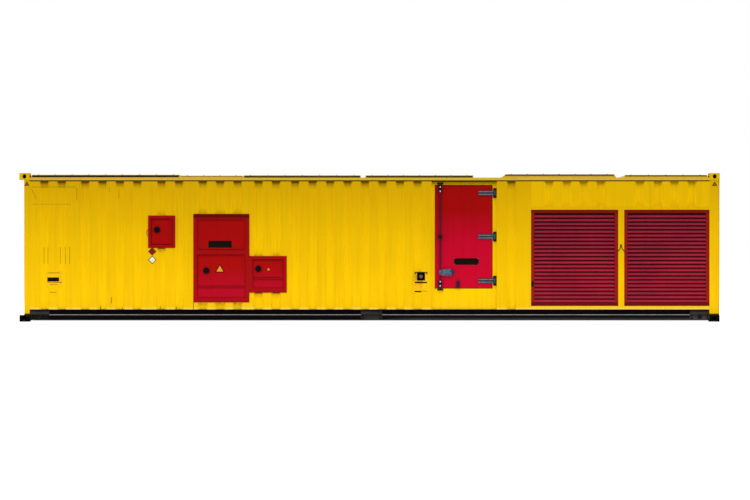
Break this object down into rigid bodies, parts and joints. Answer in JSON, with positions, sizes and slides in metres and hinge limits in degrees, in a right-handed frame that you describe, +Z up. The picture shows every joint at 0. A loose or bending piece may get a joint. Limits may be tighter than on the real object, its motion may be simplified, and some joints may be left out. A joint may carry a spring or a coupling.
{
  "type": "containerised generator set",
  "caption": "Yellow containerised generator set: a steel container body with corrugated walls, a red access door, recessed red switch cabinets and red air louvres.",
  "frame": {"origin": "centre of the container's footprint on the ground plane, under the bottom castings", "axes": "+X along the length to the louvre end, -Y out of the side with the access door, +Z up"},
  "size_m": [12.192, 2.438, 2.591],
  "materials": {
    "yellow_paint": "satin",
    "red_paint": "satin",
    "black_paint": "satin",
    "zinc_steel": "dull",
    "deck_steel": "worn",
    "black_plastic": "matte",
    "stop_plastic": "satin"
  },
  "bodies": {
    "enclosure": {"bottom_corner_castings": "black_paint", "top_corner_castings": "yellow_paint", "left_end_posts": "yellow_paint", "right_end_posts": "yellow_paint", "top_side_rails": "yellow_paint", "bottom_side_rails": "black_paint", "rail_closing_plates": "black_paint", "end_headers": "yellow_paint", "end_sills": "black_paint", "floor_cross_members": "black_paint", "floor_deck": "deck_steel", "front_wall_sheets": "yellow_paint", "front_wall_infills": "yellow_paint", "louvre_wall_sheets": "yellow_paint", "louvre_rails": "yellow_paint", "louvre_mullions": "yellow_paint", "rear_wall_sheet": "yellow_paint", "right_end_wall": "yellow_paint", "roof_sheet": "yellow_paint", "roof_covers": "yellow_paint", "front_louvres": "red_paint", "rear_louvres": "red_paint", "door_jambs": "yellow_paint", "doorway_panels": "yellow_paint", "hinge_lugs": "black_paint", "lock_keepers": "black_paint", "fuel_cabinet_frame": "red_paint", "fuel_cabinet_box": "red_paint", "power_panel_frame": "red_paint", "power_panel_box": "red_paint", "power_panel_covers": "red_paint", "side_box_frame": "red_paint", "side_box_body": "red_paint", "side_box_cover": "red_paint", "stop_cup": "black_plastic", "stop_button": "stop_plastic", "left_end_doors": "yellow_paint", "left_end_hinges": "black_paint", "left_end_lock_gear": "zinc_steel", "left_end_handles": "zinc_steel"},
    "access_door": {"access_door_leaf": "red_paint", "hinge_straps": "zinc_steel", "lock_rod_guides": "zinc_steel"},
    "lock_gear": {"lock_rod": "red_paint", "lock_handle": "zinc_steel"},
    "fuel_door": {"fuel_cabinet_door": "red_paint", "fuel_door_lock": "black_plastic"},
    "panel_door": {"power_panel_door": "red_paint", "power_panel_lock": "black_plastic"},
    "box_door": {"side_box_door": "red_paint", "side_box_lock": "black_plastic"}
  },
  "joints": [
    {"name": "access_door_hinge", "type": "hinge", "parent": "enclosure", "child": "access_door", "pos_m": [2.183, -1.202, 1.482], "axis": [0, 0, 1], "range_deg": [0, 150]},
    {"name": "lock_rod_turn", "type": "hinge", "parent": "access_door", "child": "lock_gear", "pos_m": [1.231, -1.201, 1.482], "axis": [0, 0, -1], "range_deg": [0, 100]},
    {"name": "fuel_door_hinge", "type": "hinge", "parent": "enclosure", "child": "fuel_door", "pos_m": [-3.443, -1.209, 1.568], "axis": [0, 0, 1], "range_deg": [0, 120]},
    {"name": "panel_door_hinge", "type": "hinge", "parent": "enclosure", "child": "panel_door", "pos_m": [-2.171, -1.209, 0.894], "axis": [0, 0, 1], "range_deg": [0, 120]},
    {"name": "box_door_hinge", "type": "hinge", "parent": "enclosure", "child": "box_door", "pos_m": [-1.506, -1.209, 0.9245], "axis": [0, 0, 1], "range_deg": [0, 120]}
  ]
}
